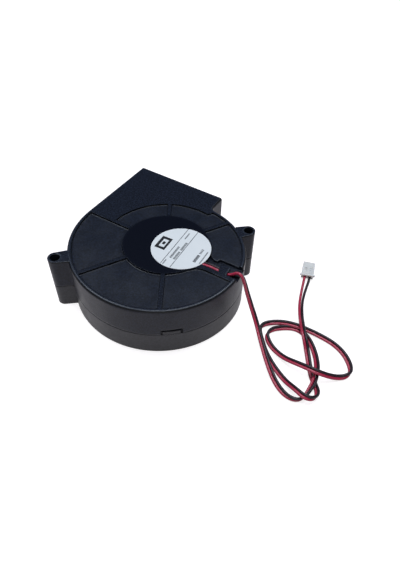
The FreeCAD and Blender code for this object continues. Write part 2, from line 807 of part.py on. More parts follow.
def circle_meeting(centre_x, centre_y, radius, reach):
    """The upper point where a circle about the centre meets a circle about the axis."""
    away = centre_x * centre_x + centre_y * centre_y
    share = (reach * reach - radius * radius + away) / (2.0 * away)
    height = root(reach * reach / away - share * share)
    return centre_x * share - centre_y * height, centre_y * share + centre_x * height


def make_yoke():
    low = level("hub_start") + size("hub_floor")
    wall, reach = size("yoke_wall"), size("yoke_reach")
    turned("rotor_yoke", [
        (size("bush_neck"), low),
        (reach, low),
        (reach, level("yoke_end")),
        (reach - wall, level("yoke_end")),
        (reach - wall, low + wall),
        (size("bush_neck"), low + wall),
    ])
    outside = reach - wall
    turned("magnet_ring", [
        (outside - size("magnet_wall"), level("magnet_start")),
        (outside, level("magnet_start")),
        (outside, level("magnet_end")),
        (outside - size("magnet_wall"), level("magnet_end")),
    ])
    seat = low + wall
    flange = seat + size("bush_flange_height")
    turned("shaft_bush", [
        (0.0, low),
        (size("bush_neck"), low),
        (size("bush_neck"), seat),
        (size("bush_flange"), seat),
        (size("bush_flange"), flange),
        (size("bush_nose"), flange),
        (size("bush_nose"), OIL_RING_START),
        (SHAFT, OIL_RING_START),
        (SHAFT, level("shaft_start")),
        (0.0, level("shaft_start")),
    ])


# Stator


def make_core():
    body = new_body("stator_core")
    start = level("core_start")
    sketch = new_sketch(body, "hub", height=start)
    add_circle(sketch, 0.0, 0.0, size("core_hub"))
    add_circle(sketch, 0.0, 0.0, TUBE_OUTSIDE)
    pad(body, sketch, size("core_height"))
    reach, inside = size("core_reach"), size("core_reach") - size("shoe_wall")
    across, along = sine(size("shoe_half_angle")), cosine(size("shoe_half_angle"))
    half = size("pole_width") / 2
    neck = root(inside * inside - half * half)
    sketch = new_sketch(body, "pole", height=start)
    add_path(sketch, [
        (size("core_hub") - 0.4, -half),
        (neck, -half),
        (inside * along, -(inside * across), inside, -1),
        (reach * along, -(reach * across)),
        (reach * along, reach * across, reach, 1),
        (inside * along, inside * across),
        (neck, half, inside, -1),
        (size("core_hub") - 0.4, half),
    ])
    pole = pad(body, sketch, size("core_height"))
    doc.recompute()
    polar(body, pole, POLE_COUNT)


POLE_COUNT = 4


def make_insulator(label, face, up):
    """A moulded cross on one face of the core, with a collar and a flange at the end of each arm."""
    body = new_body(label)
    sign = 1.0 if up else -1.0
    sheet_size = size("insulator_sheet")
    sketch = new_sketch(body, "collar", height=face)
    add_circle(sketch, 0.0, 0.0, size("insulator_collar"))
    add_circle(sketch, 0.0, 0.0, TUBE_OUTSIDE)
    pad(body, sketch, sheet_size, down=not up)
    half = size("pole_width") / 2
    end = size("core_reach") - size("shoe_wall")
    sketch = new_sketch(body, "arm", height=face)
    add_box(sketch, size("insulator_collar") - 0.5, -half, end, half)
    arm = pad(body, sketch, sheet_size, down=not up)
    doc.recompute()
    polar(body, arm, POLE_COUNT)
    sketch = new_sketch(body, "flange", height=face)
    add_box(sketch, size("winding_outside") + 0.1, -half - 1.2, end, half + 1.2)
    flange = pad(body, sketch, sheet_size + size("insulator_flange"), down=not up)
    doc.recompute()
    polar(body, flange, POLE_COUNT)
    return sign


def rounded_box(half_width, low, high, corner):
    return [
        (half_width - corner, low),
        (half_width, low + corner, corner, 1),
        (half_width, high - corner),
        (half_width - corner, high, corner, 1),
        (corner - half_width, high),
        (-half_width, high - corner, corner, 1),
        (-half_width, low + corner),
        (corner - half_width, low, corner, 1),
    ]


def make_windings():
    """One coil round each pole, its wires as one solid."""
    low = level("core_start") - size("insulator_sheet")
    high = level("core_start") + size("core_height") + size("insulator_sheet")
    half = size("pole_width") / 2
    build = size("winding_build")
    for number in range(POLE_COUNT):
        body = new_body("winding_%d" % (number + 1))
        sketch = new_sketch(body, "turns", "YZ_Plane", height=size("winding_inside"))
        add_path(sketch, rounded_box(half + build, low - build, high + build, build))
        add_box(sketch, -half, low, half, high)
        pad(body, sketch, size("winding_outside") - size("winding_inside"))
        body.Placement = FreeCAD.Placement(V(0, 0, 0), FreeCAD.Rotation(UP, 360.0 * number / POLE_COUNT))


def make_board():
    body = new_body("circuit_board")
    start = level("board_start")
    sketch = new_sketch(body, "outline", height=start)
    add_circle(sketch, 0.0, 0.0, size("board_reach"))
    add_circle(sketch, 0.0, 0.0, TUBE_OUTSIDE + size("boss_wall") + size("board_clearance"))
    for angle in PIN_ANGLES:
        add_circle(sketch, size("pin_reach") * cosine(angle), size("pin_reach") * sine(angle), size("pin_size") / 2)
    pad(body, sketch, size("board_sheet"))
    pins = new_body("terminal_pins")
    pins.AllowCompound = True
    foot = level("core_start") + size("core_height") + size("insulator_sheet")
    sketch = new_sketch(pins, "pins", height=foot)
    for angle in PIN_ANGLES:
        add_circle(sketch, size("pin_reach") * cosine(angle), size("pin_reach") * sine(angle), size("pin_size") / 2)
    pad(pins, sketch, start + size("board_sheet") + size("pin_stand") - foot)
    top = start + size("board_sheet")
    for label, reach, angle, length, width, height in BOARD_PARTS:
        add_component(label, reach, angle, length, width, top, height)
    chip_height = 3.2
    add_component("drive_chip", 10.8, 45.0, 1.5, 4.8, start - chip_height, chip_height)


PIN_ANGLES = (135.0, 225.0, 315.0)

# Small parts on the circuit board: name, reach, direction, length along it, width, height
BOARD_PARTS = [
    ("filter_capacitor", 10.6, 150.0, 1.6, 3.2, 0.8),
    ("polarity_diode", 10.8, 205.0, 1.6, 2.7, 0.8),
    ("bias_resistor", 10.8, 265.0, 1.25, 2.0, 0.5),
]


def add_component(label, reach, angle, length, width, bottom, height):
    box = doc.addObject("Part::Box", label)
    box.Label = label
    box.Length = length
    box.Width = width
    box.Height = height
    box.Placement.Rotation = FreeCAD.Rotation(UP, angle)
    bind(box, "Placement.Base.x", (reach - length / 2) * cosine(angle) + width / 2 * sine(angle))
    bind(box, "Placement.Base.y", (reach - length / 2) * sine(angle) - width / 2 * cosine(angle))
    bind(box, "Placement.Base.z", bottom)


def make_label():
    body = new_body("label")
    sketch = new_sketch(body, "outline", height=HEIGHT)
    add_circle(sketch, size("label_shift"), size("label_side"), size("label_edge"))
    pad(body, sketch, size("label_sheet"))


# Twin leads: x, y, z of the middle between them, twist of the pair in degrees, and half their gap
# where it isn't the usual one. At twist 0 the red lead is on the right of the way it runs, and at
# 90 it lies under the black one.
PLUG_PLACE = (57.34, 39.95)
PLUG_ANGLE = 107.0
CHANNEL_ROUTE = [
    (11.8, -0.6, 2.12, 0),
    (15.0, -0.9, 1.70, 0),
    (18.4, -1.4, 1.15, 0),
    (21.0, -1.7, 0.72, 0),
    (24.2, -1.45, 0.38, 0),
    (26.6, -0.9, 1.15, 0),
    (28.9, -0.6, 1.50, 0),
    (33.8, -0.5, 1.52, 0),
    (36.7, 0.75, -0.4, -50, 0.74),
    (39.4, 0.3, 0.2, -45, 0.76),
]
TABLE_ROUTE = [
    (41.0, 0.4, 22.2, -38, 0.80),
    (42.6, 0.0, 18.3, -28, 0.74),
    (45.7, -1.2, 13.0, -10, 0.65),
    (50.4, -4.3, 8.0, 0),
    (55.7, -9.7, 5.2, 0),
    (61.2, -15.8, 3.6, 0),
    (66.0, -20.7, 2.6, 0),
    (70.3, -24.4, 1.6, 10),
    (75.1, -27.3, 1.1, 40),
    (79.4, -28.5, 1.28, 75),
    (82.7, -27.6, 1.28, 95),
    (84.4, -24.8, 1.4, 120),
    (84.7, -21.5, 1.9, 150),
    (85.0, -17.9, 2.7, 180),
    (84.4, -13.1, 2.4, 180),
    (82.6, -6.7, 1.1, 180),
    (78.7, -0.4, 0.6, 180),
    (73.9, 4.6, 0.6, 180),
    (68.8, 7.2, 0.6, 180),
    (64.4, 6.8, 0.6, 180),
    (60.0, 4.0, 0.8, 165),
    (56.9, 0.7, 1.2, 120),
    (56.0, -2.8, 1.28, 75),
    (57.8, -5.8, 1.0, 30),
    (62.1, -8.8, 0.7, 0),
    (68.2, -11.5, 1.8, 0),
    (73.7, -12.9, 4.0, 0),
    (78.4, -13.6, 5.4, 0),
    (85.7, -13.3, 5.4, 0),
    (90.1, -10.4, 2.6, 0),
    (93.2, -7.9, 1.1, 20),
    (95.7, -6.0, 1.28, 60),
    (96.9, -2.9, 1.28, 110),
    (95.0, 1.2, 0.95, 150),
    (90.5, 5.6, 0.6, 180),
    (84.7, 8.3, 0.6, 180),
    (77.9, 9.2, 0.8, 180),
    (71.6, 8.7, 1.7, 180),
    (64.8, 8.0, 2.1, 180),
    (58.5, 6.4, 1.6, 170),
    (53.6, 3.0, 1.3, 140),
    (51.7, -0.1, 1.28, 100),
    (52.5, -3.4, 1.2, 60),
    (55.4, -7.2, 0.9, 20),
    (59.1, -11.3, 0.6, 0),
    (63.9, -15.4, 0.6, 0),
    (69.2, -18.9, 0.6, 0),
    (74.6, -22.0, 1.2, 0),
    (79.8, -24.8, 3.6, 0),
    (84.2, -26.5, 4.0, 20),
    (87.2, -25.5, 3.2, 60),
    (88.6, -22.7, 2.0, 110),
    (88.0, -19.3, 1.0, 150),
    (85.7, -16.6, 0.6, 180),
    (82.7, -13.3, 0.6, 180),
    (79.2, -7.8, 0.6, 180),
    (75.7, -2.2, 1.3, 180),
    (72.5, 1.4, 4.3, 180),
    (68.9, 6.7, 4.5, 180),
    (65.0, 15.1, 1.4, 180),
    (61.9, 22.2, 0.6, 180),
    (60.1, 28.1, 0.7, 180, 0.75),
    (58.8, 33.6, 1.2, 180, 1.0),
]


def turned_place(x, y):
    """A place given along and across the connector, from the middle of its wire end."""
    angle = math.radians(PLUG_ANGLE)
    along, across = math.cos(angle), math.sin(angle)
    return PLUG_PLACE[0] + x * along - y * across, PLUG_PLACE[1] + x * across + y * along


def lead_points(side):
    """The route of one lead: side is 1 for the red lead and -1 for the black one."""
    points = []
    face = float(size("body_height"))
    route = [(x, y, face - drop, *rest) for x, y, drop, *rest in CHANNEL_ROUTE] + TABLE_ROUTE
    for index, place in enumerate(route):
        before = route[max(index - 1, 0)]
        after = route[min(index + 1, len(route) - 1)]
        way = V(after[0] - before[0], after[1] - before[1], 0).normalize()
        right = V(way.y, -way.x, 0)
        twist = math.radians(place[3])
        gap = place[4] if len(place) > 4 else float(size("lead_half_gap"))
        offset = right * math.cos(twist) - UP * math.sin(twist)
        points.append(V(place[0], place[1], place[2]) + offset * (gap * side))
    way_height = float(size("plug_height")) / 2
    half_pitch = float(size("plug_pitch")) / 2
    for along in (-1.5, float(size("terminal_setback"))):
        x, y = turned_place(along, half_pitch * side)
        points.append(V(x, y, way_height))
    return points


def rounded_wire(points):
    """Straight runs joined by tangent arcs, each as large as its two runs allow."""
    edges = []
    here = points[0]
    radii = []
    for before, corner, after in zip(points, points[1:], points[2:]):
        inward = (before - corner).normalize()
        outward = (after - corner).normalize()
        turn = math.pi - inward.getAngle(outward)
        run = min((before - corner).Length, (after - corner).Length) * 0.45
        start = corner + inward * run
        end = corner + outward * run
        bisector = (inward + outward).normalize()
        radius = run / math.tan(turn / 2)
        middle = corner + bisector * (radius / math.cos(turn / 2) - radius)
        edges.append(Part.LineSegment(here, start).toShape())
        edges.append(Part.Arc(start, middle, end).toShape())
        radii.append(radius)
        here = end
    edges.append(Part.LineSegment(here, points[-1]).toShape())
    return Part.Wire(edges), radii


# A lead's section has this many sides and the area of the round one, which keeps the long tube light
LEAD_SIDES = 8


def make_lead(label, side):
    wire, radii = rounded_wire(lead_points(side))
    start = wire.Edges[0]
    section = math.pi * float(size("lead_size")) ** 2 / 4
    turn = FreeCAD.Rotation(UP, start.tangentAt(start.FirstParameter))
    step = 2 * math.pi / LEAD_SIDES
    reach = math.sqrt(2 * section / (LEAD_SIDES * math.sin(step)))
    corners = [V(reach * math.cos(step * number), reach * math.sin(step * number), 0)
               for number in range(LEAD_SIDES + 1)]
    corners[-1] = corners[0]
    outline = Part.makePolygon([start.Vertexes[0].Point + turn.multVec(corner) for corner in corners])
    tube = wire.makePipe(Part.Face(outline))
    lead = doc.addObject("Part::Feature", label)
    lead.Label = label
    lead.Shape = tube
    print("%s: length %.1f mm, smallest radius %.2f mm, volume over section times length %.4f" % (
        label, wire.Length, min(radii), tube.Volume / (section * wire.Length)))
    print("radii of its arcs:", " ".join("%.1f" % radius for radius in radii))


# Connector


def make_connector():
    """White wire housing that lies on the surface, its wire end at PLUG_PLACE."""
    body = new_body("connector_housing")
    angle = PLUG_ANGLE
    shift = PLUG_PLACE
    height, width, length = size("plug_height"), size("plug_width"), size("plug_length")
    way_height = height / 2
    flange_height, flange_width = size("plug_flange_height"), size("plug_flange_width")
    overhang, flange_sheet = size("plug_overhang"), size("plug_flange_sheet")
    lip = flange_height - flange_sheet
    sketch = new_sketch(body, "body", shift=shift, turn=angle)
    add_box(sketch, overhang, -(width / 2), length, width / 2)
    pad(body, sketch, height)
    sketch = new_sketch(body, "roof", height=lip, shift=shift, turn=angle)
    add_box(sketch, 0.0, -(width / 2), overhang * 1.5, width / 2)
    pad(body, sketch, height - lip)
    sketch = new_sketch(body, "flange", height=lip, shift=shift, turn=angle)
    add_box(sketch, 0.0, -(flange_width / 2), size("plug_flange_length"), flange_width / 2)
    pad(body, sketch, flange_sheet)
    for side in (-1.0, 1.0):
        middle = size("plug_pitch") / 2 * side
        half = size("plug_cavity") / 2
        sketch = new_sketch(body, "way_%d" % (side + 2), height=way_height - half, shift=shift, turn=angle)
        add_box(sketch, -1.0, middle - half, length + 1.0, middle + half)
        pocket(body, sketch, size("plug_cavity"), up=True)
        sketch = new_sketch(body, "window_%d" % (side + 2), height=way_height, shift=shift, turn=angle)
        start, half = size("plug_window_start"), size("plug_window_width") / 2
        add_box(sketch, start, middle - half, start + size("plug_window_length"), middle + half)
        pocket(body, sketch, height, up=True)
    terminals = new_body("crimp_terminals")
    terminals.AllowCompound = True
    for side in (-1.0, 1.0):
        middle = size("plug_pitch") / 2 * side
        half = size("plug_cavity") / 2
        back = size("terminal_setback")
        sketch = new_sketch(terminals, "side_%d" % (side + 2), height=way_height - half, shift=shift, turn=angle)
        add_box(sketch, back, middle - half, back + size("terminal_length"), middle + half)
        pad(terminals, sketch, size("plug_cavity"))


make_motor_housing()
make_inlet_cover()
make_bearing()
make_shaft()
make_shaft_rings()
make_impeller()
make_yoke()
make_core()
make_insulator("upper_insulator", level("core_start") + size("core_height"), True)
make_insulator("lower_insulator", level("core_start"), False)
make_windings()
make_board()
make_label()
make_connector()
make_lead("red_lead", 1)
make_lead("black_lead", -1)

NODES = [
    "motor_housing", "inlet_cover", "label",
    "bearing_tube", "bearing_sleeve", "shaft", "oil_ring", "thrust_washer", "retaining_clip", "shaft_bush",
    "impeller", "rotor_yoke", "magnet_ring",
    "stator_core", "upper_insulator", "lower_insulator",
    "winding_1", "winding_2", "winding_3", "winding_4",
    "circuit_board", "terminal_pins", "drive_chip", "filter_capacitor", "polarity_diode", "bias_resistor",
    "connector_housing", "crimp_terminals", "red_lead", "black_lead",
]

doc.recompute()
for item in doc.Objects:
    if "Invalid" in item.State or "Error" in item.State:
        raise RuntimeError("%s is %s" % (item.Label, item.State))

os.makedirs("parts", exist_ok=True)
for name in NODES:
    found = doc.getObjectsByLabel(name)
    if len(found) != 1:
        raise RuntimeError("%d objects are labelled %s" % (len(found), name))
    shape = found[0].Shape
    if shape.isNull() or not shape.isValid() or not shape.Solids:
        raise RuntimeError("the shape of %s is not sound" % name)
    print("%-28s %2d solids %10.2f mm3" % (name, len(shape.Solids), shape.Volume))
    shape.exportStep("parts/%s.step" % name)
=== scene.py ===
"""Looks of a small DC blower fan: moulded housing, printed label, twin PVC leads and their connector."""
import math

import bmesh
import bpy
from mathutils import Matrix, Vector


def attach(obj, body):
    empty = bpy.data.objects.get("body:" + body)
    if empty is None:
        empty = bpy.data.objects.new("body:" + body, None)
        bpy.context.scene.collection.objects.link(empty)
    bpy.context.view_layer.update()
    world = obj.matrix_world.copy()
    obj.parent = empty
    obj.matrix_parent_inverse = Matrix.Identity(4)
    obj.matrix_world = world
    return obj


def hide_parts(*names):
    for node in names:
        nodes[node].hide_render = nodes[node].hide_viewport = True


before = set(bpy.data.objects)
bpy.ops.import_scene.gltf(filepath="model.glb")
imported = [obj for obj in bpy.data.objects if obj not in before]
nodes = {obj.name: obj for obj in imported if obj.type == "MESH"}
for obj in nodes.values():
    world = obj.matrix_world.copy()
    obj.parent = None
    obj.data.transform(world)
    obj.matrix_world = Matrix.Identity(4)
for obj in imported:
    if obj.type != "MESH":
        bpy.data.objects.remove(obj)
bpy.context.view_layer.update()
MM = 0.001


# Camera: the photograph's angle, from the front right and about 50 degrees above the table. Its place, lens
# and shift were fitted to the rims, ribs, lugs and label.

camera_data = bpy.data.cameras.new("photo_camera")
camera_data.lens = 31.434
camera_data.shift_x = -0.03509
camera_data.shift_y = 0.06140
camera_data.clip_start = 0.01
camera = bpy.data.objects.new("photo_camera", camera_data)
across = Vector((0.86613, 0.49731, 0.05003))
upward = Vector((-0.40889, 0.64744, 0.64314))
backward = Vector((0.28745, -0.57750, 0.76411))
turned = Matrix((across, upward, backward)).transposed().to_4x4()
camera.matrix_world = Matrix.Translation((0.10022, -0.14052, 0.17754)) @ turned
bpy.context.scene.collection.objects.link(camera)
bpy.context.scene.camera = camera
bpy.context.scene.view_settings.view_transform = "Standard"


# Colours and shader nodes


def linear(hex_colour):
    """sRGB hex value to the linear colour that shaders take."""
    parts = [int(hex_colour[place:place + 2], 16) / 255 for place in (1, 3, 5)]
    return [part / 12.92 if part <= 0.04045 else ((part + 0.055) / 1.055) ** 2.4 for part in parts] + [1.0]


def add(tree, kind, inputs=None, output=0, **settings):
    """Adds one shader node. Each input gets a value, a hex colour or another node's output."""
    made = tree.nodes.new("ShaderNode" + kind)
    for name, value in settings.items():
        setattr(made, name, value)
    for name, value in (inputs or {}).items():
        if isinstance(value, bpy.types.NodeSocket):
            tree.links.new(value, made.inputs[name])
        else:
            made.inputs[name].default_value = linear(value) if isinstance(value, str) else value
    return made.outputs[output]


def new_finish(name, colour, roughness, shader=None):
    """A material with its main shader set. Returns the material, its tree and that shader's inputs."""
    material = bpy.data.materials.new(name)
    material.use_nodes = True
    tree = material.node_tree
    surface = tree.nodes["Principled BSDF"].inputs
    surface["Base Color"].default_value = linear(colour)
    surface["Roughness"].default_value = roughness
    for socket, value in (shader or {}).items():
        surface[socket].default_value = value
    return material, tree, surface


# Leads: two PVC wires that leave the channel together, twist over each other and end in the connector.
# They are drawn 1.3 mm thick against the solids' 1.1 mm, because the photograph shows them so. The route
# follows that of the solids. A row is x, y, z in metres, then the pair's twist in degrees, where 0 has the
# red lead to the right of its way, then half the space between the middles where it isn't HALF_GAP.

LEAD_SIZE = 1.3 * MM
HALF_GAP = 0.66 * MM
LEAD_ROUTE = [
    (0.0118, -0.00060, 0.02438, 0),
    (0.0150, -0.00090, 0.02480, 0),
    (0.0184, -0.00140, 0.02535, 0),
    (0.0210, -0.00170, 0.02578, 0),
    (0.0242, -0.00145, 0.02612, 0),
    (0.0266, -0.00090, 0.02535, 0),
    (0.0289, -0.00060, 0.02500, 0),
    (0.0338, -0.00050, 0.02498, 0),
    (0.0367, 0.00075, 0.02680, -50, 0.00074),
    (0.0394, 0.00030, 0.02620, -45, 0.00076),
    (0.0410, 0.00040, 0.02220, -38, 0.00080),
    (0.0426, 0.00000, 0.01830, -36, 0.00074),
    (0.0457, -0.00120, 0.01300, -26, 0.00068),
    (0.0504, -0.00430, 0.00810, -20, 0.00062),
    (0.0557, -0.00970, 0.00530, -18),
    (0.0612, -0.01580, 0.00370, -15),
    (0.0660, -0.02070, 0.00270, -10),
    (0.0703, -0.02440, 0.00170, 10),
    (0.0751, -0.02730, 0.00120, 40),
    (0.0794, -0.02850, 0.00138, 75),
    (0.0827, -0.02760, 0.00138, 95),
    (0.0844, -0.02480, 0.00150, 120),
    (0.0847, -0.02150, 0.00200, 150),
    (0.0850, -0.01790, 0.00280, 180),
    (0.0844, -0.01310, 0.00250, 180),
    (0.0826, -0.00670, 0.00120, 180),
    (0.0787, -0.00040, 0.00078, 170),
    (0.0739, 0.00460, 0.00091, 158),
    (0.0688, 0.00720, 0.00097, 152),
    (0.0644, 0.00680, 0.00097, 152),
    (0.0600, 0.00400, 0.00104, 145),
    (0.0569, 0.00070, 0.00130, 120),
    (0.0560, -0.00280, 0.00138, 75),
    (0.0578, -0.00580, 0.00110, 30),
    (0.0621, -0.00880, 0.00080, 0),
    (0.0682, -0.01150, 0.00190, 0),
    (0.0737, -0.01290, 0.00410, 12),
    (0.0784, -0.01360, 0.00550, 20),
    (0.0857, -0.01330, 0.00550, 26),
    (0.0901, -0.01040, 0.00270, 30),
    (0.0932, -0.00790, 0.00120, 40),
    (0.0955, -0.00600, 0.00138, 60),
    (0.0967, -0.00290, 0.00138, 110),
    (0.0948, 0.00120, 0.00105, 150),
    (0.0905, 0.00560, 0.00084, 165),
    (0.0847, 0.00830, 0.00094, 155),
    (0.0779, 0.00920, 0.00099, 150),
    (0.0716, 0.00870, 0.00180, 150),
    (0.0648, 0.00800, 0.00220, 152),
    (0.0585, 0.00640, 0.00170, 148),
    (0.0536, 0.00300, 0.00140, 140),
    (0.0517, -0.00010, 0.00138, 100),
    (0.0525, -0.00340, 0.00130, 60),
    (0.0554, -0.00720, 0.00100, 20),
    (0.0591, -0.01130, 0.00070, 0),
    (0.0639, -0.01540, 0.00070, 0),
    (0.0692, -0.01890, 0.00070, 0),
    (0.0746, -0.02200, 0.00130, 0),
    (0.0798, -0.02480, 0.00370, 0),
    (0.0842, -0.02650, 0.00410, 20),
    (0.0872, -0.02550, 0.00330, 60),
    (0.0886, -0.02270, 0.00210, 110),
    (0.0880, -0.01930, 0.00110, 150),
    (0.0857, -0.01660, 0.00070, 180),
    (0.0827, -0.01330, 0.00070, 180),
    (0.0792, -0.00780, 0.00070, 180),
    (0.0757, -0.00220, 0.00140, 180),
    (0.0725, 0.00140, 0.00440, 180),
    (0.0689, 0.00670, 0.00460, 180),
    (0.0650, 0.01510, 0.00150, 180),
    (0.0619, 0.02220, 0.00070, 180),
    (0.0601, 0.02810, 0.00080, 180, 0.00075),
    (0.0588, 0.03360, 0.00130, 180, 0.00100),
]

# Where the connector's wire end is, which way it points, and where the leads run straight into it

PLUG_PLACE = (0.05734, 0.03995)
PLUG_ANGLE = math.radians(107.0)
HALF_PITCH = 1.25 * MM
WAY_HEIGHT = 1.7 * MM
STRAIGHT_RUN = (-1.5 * MM, 2.4 * MM)


def lead_points(side):
    """Control points of one lead: it lies on one side of the pair's line, which twists as it goes."""
    points = []
    for number, place in enumerate(LEAD_ROUTE):
        before = LEAD_ROUTE[max(number - 1, 0)]
        after = LEAD_ROUTE[min(number + 1, len(LEAD_ROUTE) - 1)]
        way = Vector((after[0] - before[0], after[1] - before[1], 0)).normalized()
        twist = math.radians(place[3])
        gap = place[4] if len(place) > 4 else HALF_GAP
        offset = Vector((way.y * math.cos(twist), -way.x * math.cos(twist), -math.sin(twist)))
        points.append(Vector(place[:3]) + offset * gap * side)
    for along in STRAIGHT_RUN:
        points.append(Vector((
            PLUG_PLACE[0] + along * math.cos(PLUG_ANGLE) - HALF_PITCH * side * math.sin(PLUG_ANGLE),
            PLUG_PLACE[1] + along * math.sin(PLUG_ANGLE) + HALF_PITCH * side * math.cos(PLUG_ANGLE),
            WAY_HEIGHT)))
    return points


def lay_lead(name, side, node, material):
    """One lead as a smooth curve through the air and along the table, in place of its CAD solid."""
    curve = bpy.data.curves.new(name, "CURVE")
    curve.dimensions = "3D"
    curve.bevel_depth = LEAD_SIZE / 2
    curve.bevel_resolution = 6
    curve.resolution_u = 8
    curve.use_fill_caps = True
    points = lead_points(side)
    line = curve.splines.new("NURBS")
    line.points.add(len(points) - 1)
    for target, point in zip(line.points, points):
        target.co = (*point, 1.0)
    line.order_u = 3
    line.use_endpoint_u = True
    line.use_smooth = True
    curve.materials.append(material)
    lead = bpy.data.objects.new(name, curve)
    bpy.context.scene.collection.objects.link(lead)
    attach(lead, "housing")
    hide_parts(node)


def pvc_skin(name, colour, deep, gloss, specular):
    """Extruded PVC: an even colour and a soft gloss, with faint patches in the tone and dull spots from
    handling. Patches of 6 mm and a skin of 0.9 mm, which is coarser than the real one so that it shows."""
    material, tree, surface = new_finish(name, colour, gloss, {"IOR": 1.53, "Specular IOR Level": specular})
    place = add(tree, "TexCoord", output="Object")
    patches = add(tree, "TexNoise", {"Vector": place, "Scale": 1000 / 6.0, "Detail": 3.0})
    tone = add(tree, "Mix", {0: patches, 6: colour, 7: deep}, 2, data_type="RGBA")
    tree.links.new(tone, surface["Base Color"])
    skin = add(tree, "TexNoise", {"Vector": place, "Scale": 1000 / 0.9, "Detail": 2.0})
    dull = add(tree, "MapRange", {"Value": skin, "To Min": gloss - 0.06, "To Max": gloss + 0.1})
    tree.links.new(dull, surface["Roughness"])
    relief = add(tree, "Bump", {"Height": skin, "Distance": 0.01 * MM, "Strength": 0.6})
    tree.links.new(relief, surface["Normal"])
    return material


red_pvc = pvc_skin("extruded_red_pvc", "#A82A46", "#96223C", 0.3, 0.45)
# Black lead: near black, with a reddish tint that is a painted reflection of the red lead beside it
black_pvc = pvc_skin("extruded_black_pvc", "#2A1F26", "#21181E", 0.34, 0.25)
lay_lead("red_lead_line", 1, "red_lead", red_pvc)
lay_lead("black_lead_line", -1, "black_lead", black_pvc)


# Housing: glass-filled PBT, spark-eroded grain on the motor side, a smoother plateau over the motor. Each
# mask goes from none to full between two heights over the table, or two distances from the axis, in mm.

PLATEAU_HEIGHT = (24.8, 25.2)
PANEL_HEIGHT = (25.58, 25.66)
FOOT_HEIGHT = (25.74, 25.84)
RAISED_HEIGHT = (26.3, 26.46)
PLATEAU_EDGE = (18.8, 21.3)
RIM_START = (28, 30)
EASED_EDGE = 0.4 * MM
ROUNDED_EDGE = 1.1 * MM
GLASS_CLOUD = 9.0 * MM


def moulded_pbt(name, colour, pale, gloss, grain_mm, relief_mm, specular):
    """Moulded glass-filled PBT: dark, satin, with a fine grain from the mould and paler glass near the skin.
    The real grain is about 0.1 mm, drawn coarser so that it shows. Edges look eased, and the rim, where the
    surface leans outward far from the axis, looks rounder."""
    material, tree, surface = new_finish(name, colour, gloss, {"IOR": 1.58, "Specular IOR Level": specular})
    place = add(tree, "TexCoord", output="Object")
    grain = add(tree, "TexNoise", {"Vector": place, "Scale": 1000 / grain_mm, "Detail": 3.0,
                                   "Roughness": 0.6})
    cloud = add(tree, "TexNoise", {"Vector": place, "Scale": 1 / GLASS_CLOUD, "Detail": 3.0})
    fleck = add(tree, "MapRange", {"Value": grain, "From Min": 0.38, "From Max": 0.7, "To Max": 0.9})
    tone = add(tree, "Mix", {0: fleck, 6: colour, 7: pale}, 2, data_type="RGBA")
    tree.links.new(tone, surface["Base Color"])
    dull = add(tree, "MapRange", {"Value": cloud, "From Min": 0.3, "From Max": 0.7,
                                  "To Min": gloss - 0.05, "To Max": gloss + 0.06})
    tree.links.new(dull, surface["Roughness"])
    level = add(tree, "SeparateXYZ", {0: place}, "Z")
    flat = add(tree, "VectorMath", {0: place, 1: (1.0, 1.0, 0.0)}, "Vector", operation="MULTIPLY")
    outward = add(tree, "VectorMath", {0: flat}, "Vector", operation="NORMALIZE")
    reach = add(tree, "VectorMath", {0: flat}, "Value", operation="LENGTH")
    rounded = add(tree, "Bevel", {"Radius": ROUNDED_EDGE}, samples=8)
    eased = add(tree, "Bevel", {"Radius": EASED_EDGE}, samples=8)
    leaning = add(tree, "VectorMath", {0: rounded, 1: outward}, "Value", operation="DOT_PRODUCT")
    outer = add(tree, "MapRange", {"Value": leaning, "From Min": 0.02, "From Max": 0.1})
    far = add(tree, "MapRange", {"Value": reach, "From Min": RIM_START[0] * MM,
                                 "From Max": RIM_START[1] * MM})
    rim = add(tree, "Math", {0: outer, 1: far}, operation="MULTIPLY")
    edge = add(tree, "Mix", {0: rim, 4: eased, 5: rounded}, 1, data_type="VECTOR")
    relief = add(tree, "Bump", {"Height": grain, "Distance": relief_mm * MM, "Normal": edge})
    tree.links.new(relief, surface["Normal"])
    parts = {"level": level, "reach": reach, "tone": tone, "dull": dull, "rim": rim, "edge": edge,
             "eased": eased, "rounded": rounded, "relief": relief}
    return material, tree, surface, parts


